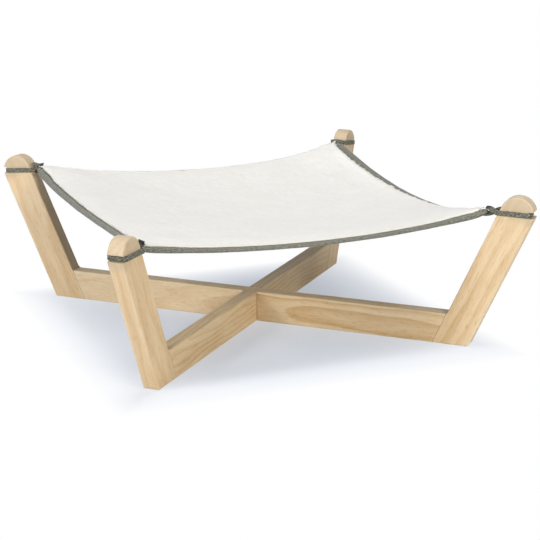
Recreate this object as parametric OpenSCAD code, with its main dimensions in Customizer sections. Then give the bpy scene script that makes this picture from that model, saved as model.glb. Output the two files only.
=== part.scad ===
// Cat hammock: two crossed wooden frames that carry a fleece sling by a tape loop at each corner.
// The frames lie on the diagonals, so the sling's edges run along X and Y. The floor is z = 0.

/* [Boards] */
// Thickness of the rails and posts
board_t = 20; // [16:1:26]
// Height of the rails
rail_h = 40; // [34:1:52]
// Width of the posts
post_w = 42; // [36:1:54]
// Radius of the rounded edges of the boards
arris_r = 2; // [1:0.5:4]

/* [Frames] */
// Half the length of a rail along the floor
rail_half = 250; // [200:5:320]
// Outward lean of the posts in degrees
lean = 24; // [14:1:30]
// Length of a post from the floor to the centre of its domed head, along the inner edge
post_len = 200; // [170:5:250]
// Radius of the outer bottom corner of a post
toe_r = 6; // [2:0.5:10]
// Play of the halved crossing joint on each face
lap_play = 0.5; // [0.2:0.05:0.8]

/* [Dowels] */
// Diameter of the dowels that join a rail to its posts
dowel_d = 8; // [6:1:10]
// Length of a dowel
dowel_len = 36; // [24:2:44]
// Distance between the two dowels of one joint
dowel_pitch = 16; // [12:1:20]
// Glue room round a dowel
dowel_play = 0.1; // [0.05:0.05:0.2]
// Glue room past each end of a dowel
dowel_room = 1; // [0.5:0.5:3]

/* [Strap notch] */
// Height of the notch under the head of a post
notch_h = 7.5; // [7:0.25:10]
// Depth of the notch
notch_d = 7; // [5:0.5:10]
// Radius of the corners at the bottom of the notch
notch_r = 1.5; // [0.5:0.25:3]
// Radius of the rounded lips of the notch
lip_r = 1.5; // [0.5:0.25:3]

/* [Corner loops] */
// Width of the loop tape
strap_w = 6.5; // [5:0.25:7]
// Thickness of the loop tape
strap_t = 2; // [1:0.25:3]
// Length of the neck where both plies of a loop run side by side
neck_len = 4; // [2:0.5:6]

/* [Sling] */
// Distance from a post to the sling's corner
corner_gap = 12; // [10:0.5:24]
// Depth by which the middle of an edge bows inwards
edge_bow = 5; // [2:1:24]
// Depth by which the middle of an edge hangs below the corners
edge_sag = 15; // [8:1:36]
// Depth by which the middle of the sling hangs below the corners
middle_sag = 34; // [14:1:70]
// Height of the fleece pile
pile_t = 5; // [3:0.5:8]
// Thickness of the fleece where it is sewn down
seam_t = 1; // [1:0.25:2.5]
// Thickness of the canvas under the fleece
canvas_t = 1; // [0.6:0.1:2]
// Width of the binding on each face of the sling
bind_w = 10; // [6:0.5:12]
// Thickness of the binding tape
tape_t = 0.8; // [0.6:0.1:1.2]
// Radius of the fold where the binding wraps the edge
fold_r = 1; // [0.5:0.25:1.25]

/* [Hidden] */
// Gap between pieces that lie against each other
fit = 0.3;
// Length by which a cutter passes the face that it cuts
overrun = 1;
// Room between the loop and the inner edge of a post where the plies spread
strap_lead = 1;
// Facets along a quarter turn of a rounded edge
arc_steps = 5;
// Columns of facets across the flat middle of the sling
sling_steps = 14;

// Place of the head's centre, out from the crossing and up from the floor
head_x = rail_half + post_w / 2 * cos(lean) + post_len * sin(lean);
head_z = post_len * cos(lean) - post_w / 2 * sin(lean);
// Run of a post's outer edge past its inner edge, measured along the floor
post_run = post_w / cos(lean);
// Floor and mouth of the strap notch
notch_x = head_x + post_w / 2 - notch_d;
mouth_x = head_x + post_w / 2;
// Place of the notch's floor at the edges of the strap, where its rounded corners may have begun
strap_into_corner = max(0, strap_w / 2 - notch_h / 2 + notch_r);
seat_x = notch_x + notch_r - sqrt(notch_r * notch_r - strap_into_corner * strap_into_corner);
// Radius at which the sling's corners end, and half the width of the sling there
tip_r = inner_x(head_z) - corner_gap;
sling_half = tip_r / sqrt(2);
// Distance from the sling's rim to the edge of its cloth, inside the fold of the binding
cloth_inset = tape_t + fit;
// Heights of the binding's two wings over the face where canvas and fleece meet
wing_top = seam_t + fit;
wing_base = -(fit + canvas_t + fit);

// Turn about Z of each corner of the sling, out along its post
rear_right = 45;
front_right = 315;
front_left = rear_right + 180;
rear_left = front_right - 180;

// Place of a post's inner face at height z, out from the crossing
function inner_x(z) = rail_half + z * tan(lean);

// Points of an arc of radius r about the centre c, from angle a to angle b
function arc(c, r, a, b) =
    [for (i = [0 : arc_steps]) let (t = a + (b - a) * i / arc_steps) c + r * [cos(t), sin(t)]];

// Rectangle w by h about the origin with rounded corners
function board_section(w, h) = concat(
    arc([w / 2 - arris_r, h / 2 - arris_r], arris_r, 0, 90),
    arc([arris_r - w / 2, h / 2 - arris_r], arris_r, 90, 180),
    arc([arris_r - w / 2, arris_r - h / 2], arris_r, 180, 270),
    arc([w / 2 - arris_r, arris_r - h / 2], arris_r, 270, 360)
);

// Half of the post's section, from the middle of its width outwards
function half_section() = concat(
    [[0, -board_t / 2]],
    arc([post_w / 2 - arris_r, arris_r - board_t / 2], arris_r, -90, 0),
    arc([post_w / 2 - arris_r, board_t / 2 - arris_r], arris_r, 0, 90),
    [[0, board_t / 2]]
);

// Extrudes an outline drawn in X and Z along Y, over the length l about the middle
module along_y(l) {
    rotate([90, 0, 0]) linear_extrude(height = l, center = true) children();
}

// Extrudes an outline drawn in Y and Z along X, over the length l about the middle
module along_x(l) {
    rotate([90, 0, 90]) linear_extrude(height = l, center = true) children();
}

// Two bores or dowels of one joint lie along X, across the slanted joint face
module dowel_at(z, d, l) {
    translate([inner_x(z), 0, z]) rotate([0, 90, 0]) cylinder(d = d, h = l, center = true, $fn = 48);
}

function dowel_z(side) = rail_h / 2 + side * dowel_pitch / 2;

module dowel_bores() {
    for (side = [-1, 1])
        dowel_at(dowel_z(side), dowel_d + 2 * dowel_play, dowel_len + 2 * dowel_room);
}

// A rail lies along X: a bar with rounded edges whose ends are cut to the lean of the posts
module rail_blank() {
    top_half = inner_x(rail_h);
    difference() {
        intersection() {
            translate([0, 0, rail_h / 2]) along_x(2 * top_half) polygon(board_section(board_t, rail_h));
            along_y(2 * board_t)
                polygon([[-rail_half, 0], [rail_half, 0], [top_half, rail_h], [-top_half, rail_h]]);
        }
        for (turn = [0, 180]) rotate([0, 0, turn]) dowel_bores();
    }
}

// Half-depth notch at the middle of a rail, from height z upwards
module lap_notch(z) {
    width = board_t + 2 * lap_play;
    translate([-width / 2, -board_t, z]) cube([width, 2 * board_t, rail_h / 2 + lap_play / 2 + overrun]);
}

module lower_rail() {
    color("burlywood") rotate([0, 0, rear_right]) difference() {
        rail_blank();
        lap_notch(rail_h / 2 - lap_play / 2);
    }
}

module upper_rail() {
    color("burlywood") rotate([0, 0, front_right]) difference() {
        rail_blank();
        lap_notch(-overrun);
    }
}

// Outline of the strap notch: round corners at its floor and rounded lips at its mouth
function notch_outline() = concat(
    arc([notch_x + notch_r, head_z - notch_h / 2 + notch_r], notch_r, 180, 270),
    arc([mouth_x - lip_r, head_z - notch_h / 2 - lip_r], lip_r, 90, 0),
    [[mouth_x + overrun, head_z - notch_h / 2 - lip_r], [mouth_x + overrun, head_z + notch_h / 2 + lip_r]],
    arc([mouth_x - lip_r, head_z + notch_h / 2 + lip_r], lip_r, 0, -90),
    arc([notch_x + notch_r, head_z + notch_h / 2 - notch_r], notch_r, 90, 180)
);

// Cuts the outer bottom corner of a post to the radius toe_r
function toe_outline() =
    let (corner_x = rail_half + post_run)
    let (centre = [corner_x - toe_r * (1 - sin(lean)) / cos(lean), toe_r])
    concat(
        [[centre.x, -overrun]],
        arc(centre, toe_r, -90, -lean),
        [[corner_x + toe_r, toe_r * (1 - sin(lean))], [corner_x + toe_r, -overrun]]
    );

// Rounds the bottom edge of a post on one of its broad faces
function foot_outline() = concat(
    [[board_t / 2 + overrun, -overrun], [board_t / 2 + overrun, arris_r]],
    arc([board_t / 2 - arris_r, arris_r], arris_r, 0, -90),
    [[board_t / 2 - arris_r, -overrun]]
);

// A post stands out along X: a leaning bar with a domed head. Its inner edges stay square along the
// joint, where the rail's faces run flush into its own, and are rounded above it.
module post(turn) {
    joint_len = rail_h / cos(lean) + arris_r;
    floor_room = post_w;
    color("burlywood") rotate([0, 0, turn]) difference() {
        translate([rail_half, 0, 0]) rotate([0, lean, 0]) {
            translate([post_w / 2, 0, -overrun])
                linear_extrude(height = post_len + overrun) polygon(board_section(post_w, board_t));
            translate([post_w / 2, 0, post_len]) rotate([90, 0, 0])
                rotate_extrude(angle = 180, $fn = 96) polygon(half_section());
            translate([0, -board_t / 2, -overrun]) cube([2 * arris_r, board_t, joint_len + overrun]);
        }
        translate([rail_half - post_run, -board_t, -floor_room])
            cube([3 * post_run, 2 * board_t, floor_room]);
        along_y(2 * board_t) polygon(toe_outline());
        for (side = [0, 1]) mirror([0, side, 0])
            translate([rail_half, 0, 0]) along_x(4 * post_run) polygon(foot_outline());
        along_y(2 * board_t) polygon(notch_outline());
        dowel_bores();
    }
}

module dowel(turn, side) {
    color("tan") rotate([0, 0, turn]) dowel_at(dowel_z(side), dowel_d, dowel_len);
}

// The sling hangs from its four corners. u and v run from -1 to 1 between opposite rims, and both
// its plan and its height are parabolas along every edge, so the middle of each edge bows in and sags.
sag_blend = 2 * edge_sag - middle_sag;
function bowl(t) = 1 - t * t;
function sling_at(u, v) = [
    u * (sling_half - edge_bow * bowl(v)),
    v * (sling_half - edge_bow * bowl(u)),
    head_z - edge_sag * (bowl(u) + bowl(v)) + sag_blend * bowl(u) * bowl(v)
];
function sling_normal(u, v) =
    let (along_u = [
        sling_half - edge_bow * bowl(v), 2 * edge_bow * u * v, 2 * u * (edge_sag - sag_blend * bowl(v))
    ])
    let (along_v = [
        2 * edge_bow * u * v, sling_half - edge_bow * bowl(u), 2 * v * (edge_sag - sag_blend * bowl(u))
    ])
    let (n = cross(along_u, along_v))
    n / norm(n);
// Point at height h over the face where canvas and fleece meet
function sling_point(u, v, h) = sling_at(u, v) + h * sling_normal(u, v);
// Share of the sling's half width at the distance w from its rim
function rim_share(w) = 1 - w / sling_half;

// Columns of the cloth: its edge, the edge of the binding, the foot of the pile and the even middle
pile_foot = bind_w + fit + pile_t;
cloth_half_shares = [rim_share(cloth_inset), rim_share(bind_w + fit)];
cloth_shares = concat(
    -cloth_half_shares,
    [for (i = [0 : sling_steps]) rim_share(pile_foot) * (2 * i / sling_steps - 1)],
    [cloth_half_shares[1], cloth_half_shares[0]]
);

// Height of the pile, which is sewn flat under the binding and stands up beside it
function pile_h(u, v) =
    let (w = (1 - max(abs(u), abs(v))) * sling_half)
    lookup(w, [[bind_w + fit, seam_t], [pile_foot, pile_t]]);

// Closed sheet over all the columns, between the heights given for its base and its top at each point
module cloth_sheet(base, tops) {
    n = len(cloth_shares);
    top_points = [for (i = [0 : n - 1], j = [0 : n - 1])
        sling_point(cloth_shares[i], cloth_shares[j], tops[i][j])];
    base_points = [for (u = cloth_shares, v = cloth_shares) sling_point(u, v, base)];
    first_base = n * n;
    rim = concat(
        [for (i = [0 : n - 2]) i * n],
        [for (j = [0 : n - 2]) (n - 1) * n + j],
        [for (i = [n - 1 : -1 : 1]) i * n + n - 1],
        [for (j = [n - 1 : -1 : 1]) j]
    );
    m = len(rim);
    top_faces = [for (i = [0 : n - 2], j = [0 : n - 2], half = [0, 1])
        let (a = i * n + j)
        half == 0 ? [a, a + 1, a + n + 1] : [a, a + n + 1, a + n]];
    base_faces = [for (f = top_faces) [f[2] + first_base, f[1] + first_base, f[0] + first_base]];
    side_faces = [for (k = [0 : m - 1], half = [0, 1])
        let (a = rim[k], b = rim[(k + 1) % m])
        half == 0 ? [a, b, b + first_base] : [a, b + first_base, a + first_base]];
    polyhedron(concat(top_points, base_points), concat(top_faces, base_faces, side_faces));
}

module fleece_top() {
    color("whitesmoke")
        cloth_sheet(0, [for (u = cloth_shares) [for (v = cloth_shares) pile_h(u, v)]]);
}

module canvas_base() {
    color("gray")
        cloth_sheet(-fit - canvas_t, [for (u = cloth_shares) [for (v = cloth_shares) -fit]]);
}

// Section of the binding as distance in from the rim and height: a tape folded round the edge
binding_section = [
    [bind_w, wing_top + tape_t], [fold_r, wing_top + tape_t], [0, wing_top + tape_t - fold_r],
    [0, wing_base - tape_t + fold_r], [fold_r, wing_base - tape_t], [bind_w, wing_base - tape_t],
    [bind_w, wing_base], [tape_t, wing_base], [tape_t, wing_top], [bind_w, wing_top]
];
// Triangles of the binding's mitred ends, as places in its section
binding_end = [
    [0, 1, 8], [0, 8, 9], [1, 2, 8], [2, 3, 7], [2, 7, 8], [3, 4, 7], [4, 5, 6], [4, 6, 7]
];

// One edge's binding, swept along the front rim and turned to its side. Its ends are mitred.
module binding(turn) {
    n = len(cloth_shares);
    k = len(binding_section);
    rings = [for (i = [0 : n - 1]) [for (p = binding_section)
        let (mitre_share = rim_share(p[0] + fit))
        let (u = max(-mitre_share, min(mitre_share, i == 0 ? -1 : i == n - 1 ? 1 : cloth_shares[i])))
        sling_point(u, -rim_share(p[0]), p[1])]];
    points = [for (ring = rings, p = ring) p];
    walls = [for (i = [0 : n - 2], j = [0 : k - 1], half = [0, 1])
        let (a = i * k + j, b = i * k + (j + 1) % k)
        half == 0 ? [a, b, b + k] : [a, b + k, a + k]];
    first_end = [for (f = binding_end) [f[2], f[1], f[0]]];
    last_end = [for (f = binding_end) f + (n - 1) * k * [1, 1, 1]];
    color("dimgray") rotate([0, 0, turn]) polyhedron(points, concat(walls, first_end, last_end));
}

// Plan of a corner loop, out along X: the plies run side by side at the neck, spread to the post's
// broad faces, follow them and turn round the floor of the notch. Half of it lies at y > 0.
function loop_half(thick) =
    let (spread_x = inner_x(head_z - strap_w / 2) - strap_lead)
    let (split_x = tip_r + fit + neck_len)
    let (side_y = board_t / 2 + fit)
    let (slant = atan2(side_y, spread_x - split_x))
    let (back = thick * tan(slant / 2))
    concat(
        [[split_x - back, thick], [spread_x - back, side_y + thick]],
        arc([seat_x, board_t / 2], fit + thick, 90, 0)
    );
function mirrored(half) = [for (i = [len(half) - 1 : -1 : 0]) [half[i].x, -half[i].y]];

module corner_loop(turn) {
    outside = concat([[tip_r + fit, strap_t]], loop_half(strap_t));
    eye_half = loop_half(0);
    eye = [for (i = [1 : len(eye_half) - 1]) eye_half[i]];
    color("slategray") rotate([0, 0, turn]) translate([0, 0, head_z - strap_w / 2])
        linear_extrude(height = strap_w) difference() {
            polygon(concat(outside, mirrored(outside)));
            polygon(concat([eye_half[0]], eye, mirrored(eye)));
        }
}

lower_rail();
upper_rail();
post(front_left);  // post_front_left
post(rear_right);  // post_rear_right
post(front_right);  // post_front_right
post(rear_left);  // post_rear_left
dowel(front_left, -1);  // dowel_front_left_low
dowel(front_left, 1);  // dowel_front_left_high
dowel(rear_right, -1);  // dowel_rear_right_low
dowel(rear_right, 1);  // dowel_rear_right_high
dowel(front_right, -1);  // dowel_front_right_low
dowel(front_right, 1);  // dowel_front_right_high
dowel(rear_left, -1);  // dowel_rear_left_low
dowel(rear_left, 1);  // dowel_rear_left_high
fleece_top();
canvas_base();
binding(0);  // binding_front
binding(90);  // binding_right
binding(180);  // binding_rear
binding(270);  // binding_left
corner_loop(front_left);  // loop_front_left
corner_loop(front_right);  // loop_front_right
corner_loop(rear_right);  // loop_rear_right
corner_loop(rear_left);  // loop_rear_left
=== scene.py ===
"""Cat hammock: two crossed wooden frames with leaning posts carry a fleece sling by corner tapes."""
import math

import bmesh
import bpy
import numpy as np
from mathutils import Matrix


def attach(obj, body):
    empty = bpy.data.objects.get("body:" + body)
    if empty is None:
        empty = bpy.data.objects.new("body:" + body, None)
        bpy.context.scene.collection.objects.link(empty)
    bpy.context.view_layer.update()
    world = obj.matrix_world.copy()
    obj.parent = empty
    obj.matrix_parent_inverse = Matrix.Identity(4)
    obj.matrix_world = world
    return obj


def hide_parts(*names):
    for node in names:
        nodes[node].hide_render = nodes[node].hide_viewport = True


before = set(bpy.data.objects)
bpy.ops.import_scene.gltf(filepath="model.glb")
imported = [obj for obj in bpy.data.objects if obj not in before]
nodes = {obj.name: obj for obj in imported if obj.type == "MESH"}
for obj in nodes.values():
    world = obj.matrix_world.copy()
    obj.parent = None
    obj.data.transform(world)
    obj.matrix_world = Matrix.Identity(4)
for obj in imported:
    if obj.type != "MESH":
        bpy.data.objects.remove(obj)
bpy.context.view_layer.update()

# The camera stands in front and a little to the left of the hammock, above the sling, with a long
# lens. Its place and turn were fitted to the corners of the frames.
camera_distance = 1.92093
camera_azimuth, camera_elevation = math.radians(-21.570), math.radians(17.553)
aim_azimuth, aim_elevation = math.radians(-22.283), math.radians(15.660)
camera_roll = math.radians(-0.205)
focal_px, photo_width_px, sensor_width_mm = 1442.12, 540, 36


def direction(azimuth, elevation):
    """Unit vector from the hammock to a viewer: azimuth 0 is the front (-Y), elevation is up."""
    flat = math.cos(elevation)
    return np.array([math.sin(azimuth) * flat, -math.cos(azimuth) * flat, math.sin(elevation)])


camera_data = bpy.data.cameras.new("camera")
camera_data.sensor_width = sensor_width_mm
camera_data.lens = focal_px / photo_width_px * sensor_width_mm
camera = bpy.data.objects.new("camera", camera_data)
bpy.context.scene.collection.objects.link(camera)
view_back = direction(aim_azimuth, aim_elevation)
level_right = np.array([math.cos(aim_azimuth), math.sin(aim_azimuth), 0.0])
level_up = np.cross(view_back, level_right)
view_right = level_right * math.cos(camera_roll) + level_up * math.sin(camera_roll)
view_up = np.cross(view_back, view_right)
turn = np.eye(4)
turn[:3, 0], turn[:3, 1], turn[:3, 2] = view_right, view_up, view_back
turn[:3, 3] = camera_distance * direction(camera_azimuth, camera_elevation)
camera.matrix_world = Matrix(turn.tolist())
bpy.context.scene.camera = camera
bpy.context.scene.view_settings.view_transform = "Standard"


# The hammock stands on a plain white studio floor. Light falls from a soft box overhead, one in front
# on the right and two on the left, so the sling lays a soft shade on the rails and the floor. A weak
# one behind on the right opens up the back.
def linear(hex_colour):
    """sRGB hex colour as linear red, green, blue and alpha."""
    srgb = np.array([int(hex_colour[i:i + 2], 16) for i in (1, 3, 5)]) / 255
    rgb = np.where(srgb <= 0.04045, srgb / 12.92, ((srgb + 0.055) / 1.055) ** 2.4)
    return (*rgb.tolist(), 1.0)


def add(tree, kind, inputs, settings=(), out=0):
    """Adds a node, sets its attributes and colour stops, links or sets its inputs, gives an output."""
    node = tree.nodes.new(kind)
    settings = dict(settings)
    stops = settings.pop("stops", None)
    if stops:
        ramp = node.color_ramp.elements
        ramp[0].position, ramp[0].color = stops[0][0], linear(stops[0][1])
        ramp[1].position, ramp[1].color = stops[-1][0], linear(stops[-1][1])
        for position, colour in stops[1:-1]:
            ramp.new(position).color = linear(colour)
    for key, value in settings.items():
        setattr(node, key, value)
    for key, value in inputs.items():
        if isinstance(value, bpy.types.NodeSocket):
            tree.links.new(value, node.inputs[key])
        else:
            node.inputs[key].default_value = value
    return node.outputs[out] if len(node.outputs) else node


def new_material(name):
    """Empty node material and its tree."""
    material = bpy.data.materials.new(name)
    material.use_nodes = True
    material.node_tree.nodes.clear()
    return material, material.node_tree


def mesh_object(name, points, faces, material):
    """Smooth mesh object at the origin from its points and lists of faces, each list with equal corners."""
    points = np.asarray(points, float).reshape(-1, 3)
    groups = [np.asarray(group, int) for group in faces]
    corners = np.concatenate([group.ravel() for group in groups])
    sizes = np.concatenate([np.full(len(group), group.shape[1]) for group in groups])
    mesh = bpy.data.meshes.new(name)
    mesh.vertices.add(len(points))
    mesh.vertices.foreach_set("co", points.ravel())
    mesh.loops.add(len(corners))
    mesh.loops.foreach_set("vertex_index", corners)
    mesh.polygons.add(len(sizes))
    mesh.polygons.foreach_set("loop_start", np.cumsum(sizes) - sizes)
    mesh.polygons.foreach_set("use_smooth", np.ones(len(sizes), bool))
    mesh.update(calc_edges=True)
    mesh.validate()
    mesh.materials.append(material)
    made = bpy.data.objects.new(name, mesh)
    bpy.context.scene.collection.objects.link(made)
    return made


def background_rays(tree):
    """1 for the rays that show the background: from the camera, off a gloss or through a clear piece."""
    shown = add(tree, "ShaderNodeLightPath", {}, out="Is Camera Ray")
    for ray in ("Is Glossy Ray", "Is Transmission Ray"):
        other = add(tree, "ShaderNodeLightPath", {}, out=ray)
        shown = add(tree, "ShaderNodeMath", {0: shown, 1: other}, {"operation": "MAXIMUM"})
    return shown


# The floor takes the hammock's real shade under the sling and fades to plain white outside its posts. To
# the camera it also glows white, less towards the middle, which adds painted shade: two fifths of the glow
# under the crossing, all of it outside.
floor_half, shade_from, shade_to, shade_curve, shade_white = 15.0, 0.05, 0.264, 2.4, 0.4
shade_middle = (-0.007, -0.013, 0.0)
floor_paint, tree = new_material("white_studio_floor")
diffuse = add(tree, "ShaderNodeBsdfDiffuse", {"Color": linear("#EFF1F5")})
place = add(tree, "ShaderNodeTexCoord", {}, out="Object")
place = add(tree, "ShaderNodeVectorMath", {0: place, 1: shade_middle}, {"operation": "SUBTRACT"})
place = add(tree, "ShaderNodeVectorMath", {0: place}, {"operation": "ABSOLUTE"})
aside = add(tree, "ShaderNodeSeparateXYZ", {0: place}, out=0)
ahead = add(tree, "ShaderNodeSeparateXYZ", {0: place}, out=1)
away = add(tree, "ShaderNodeMath", {0: aside, 1: ahead}, {"operation": "MAXIMUM"})
fade = add(tree, "ShaderNodeMapRange", {0: away, 1: shade_from, 2: shade_to})
fade = add(tree, "ShaderNodeMath", {0: fade, 1: shade_curve}, {"operation": "POWER"})
# Painted shade: nearer the middle the white glow is weaker and pale blue, so the floor shows darker and
# bluer there.
painted_shade_tint = add(tree, "ShaderNodeValToRGB", {0: fade}, {"stops": ((0.0, "#E4EEFF"), (1.0, "#FFFFFF"))})
glow = add(tree, "ShaderNodeEmission", {"Color": painted_shade_tint, "Strength": 1.0})
share = add(tree, "ShaderNodeMath", {0: fade, 1: 1 - shade_white, 2: shade_white},
            {"operation": "MULTIPLY_ADD"})
share = add(tree, "ShaderNodeMath", {0: share, 1: background_rays(tree)}, {"operation": "MULTIPLY"})
both = add(tree, "ShaderNodeMixShader", {0: share, 1: diffuse, 2: glow})
add(tree, "ShaderNodeOutputMaterial", {"Surface": both})
floor_corners = np.array([[-1, -1, 0], [1, -1, 0], [1, 1, 0], [-1, 1, 0]]) * floor_half
floor = mesh_object("studio_floor", floor_corners, [[[0, 1, 2, 3]]], floor_paint)

world = bpy.data.worlds.new("studio")
bpy.context.scene.world = world
world.use_nodes = True
tree = world.node_tree
tree.nodes.clear()
room = add(tree, "ShaderNodeBackground", {"Color": linear("#EEF3FF"), "Strength": 0.03})
white = add(tree, "ShaderNodeBackground", {"Color": linear("#FFFFFF"), "Strength": 1.0})
sky = add(tree, "ShaderNodeMixShader", {0: background_rays(tree), 1: room, 2: white})
add(tree, "ShaderNodeOutputWorld", {"Surface": sky})


def soft_box(name, azimuth, elevation, distance, size, watts, colour):
    """Square area lamp that faces the hammock from the given direction."""
    lamp = bpy.data.lights.new(name, "AREA")
    lamp.shape, lamp.size, lamp.energy = "SQUARE", size, watts
    lamp.color = linear(colour)[:3]
    made = bpy.data.objects.new(name, lamp)
    bpy.context.scene.collection.objects.link(made)
    back = direction(math.radians(azimuth), math.radians(elevation))
    right = np.array([math.cos(math.radians(azimuth)), math.sin(math.radians(azimuth)), 0.0])
    place = np.eye(4)
    place[:3, 0], place[:3, 1], place[:3, 2] = right, np.cross(back, right), back
    place[:3, 3] = distance * back
    made.matrix_world = Matrix(place.tolist())


# Azimuth and elevation in degrees, distance and size in metres, power in watts.
soft_box("overhead_box", -30, 82, 3.2, 0.8, 48, "#F8FAFF")
soft_box("front_right_box", 12, 24, 3.4, 1.2, 59, "#FFF8E6")
soft_box("low_left_box", -72, 12, 3.4, 1.2, 22, "#FFFCF6")
soft_box("left_box", -80, 30, 3.4, 1.0, 40, "#FFFCF6")
soft_box("back_box", 136, 8, 3.6, 1.2, 11, "#FFFCF6")

# The rails and posts are planed boards of pale laminated hardwood, rubberwood or the like: fine
# straight grain with short dark pores, soft cathedral figure, sanded smooth and oiled matt. Each board
# keeps its CAD shape and has its own grain along its length; a thin glue line shows at each joint.
board_turns = {"rear_right": 45, "front_right": -45, "front_left": -135, "rear_left": 135}
post_lean, rail_half, board_half_mm, post_width_mm, rail_height_mm = 24.0, 0.250, 10.0, 42.0, 40.0
stave_width_mm, ring_spacing_mm, glue_line_mm = 14.0, 6.0, 0.8
# The shaded gap of the halved joint is painted as a dark line of shade, which fades in within its blur.
lap_play_mm, lap_line_mm, lap_blur_mm = 0.5, 1.4, (0.02, 0.2)
# Width and length of each part of the grain, and its detail. Streaks and pores are about 0.5 mm wide
# in the wood, too fine to show, and are drawn two to four times as wide.
grain_sizes_mm = {"bend": (48, 210, 2.0), "streak": (2.2, 80, 4.0), "cloud": (22, 70, 2.0),
                  "fleck": (1.0, 11, 1.0), "dust": (0.7, 3.5, 1.0)}
# Noise bends the rings, and they narrow along the pith. In each ring the late wood begins, is darkest
# and ends at a share of its width. Noise between two values fades in a pore or a speck.
ring_bend_mm, ring_narrowing = 30.0, 0.02
late_from, late_full, late_end, late_middle = 0.25, 0.88, 0.90, 0.4
pore_noise, speck_noise, pore_depth = (0.60, 0.74), (0.66, 0.78), 0.7
# The strength of the figure changes between two places along a rail, and between two others the tone
# turns paler as painted light. The board's edges are painted pale, partly wear and partly a painted
# highlight on the arrises; the end grain of the domed heads is greyer, and streaks are a little rougher.
figure_along_mm, painted_light_along_mm, base_tone, plain_figure = (-60.0, 40.0), (-70.0, -10.0), -0.05, (0.14, 0.14)
arris_pale_from_mm, arris_pale_to_mm, wear_and_highlight_share = 3.2, 0.4, 0.25
dome_from_mm, dome_to_mm, dome_share = 190.0, 202.0, 0.55
rough_base, rough_streak, post_run_out = 0.44, 0.20, 1.5


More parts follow.
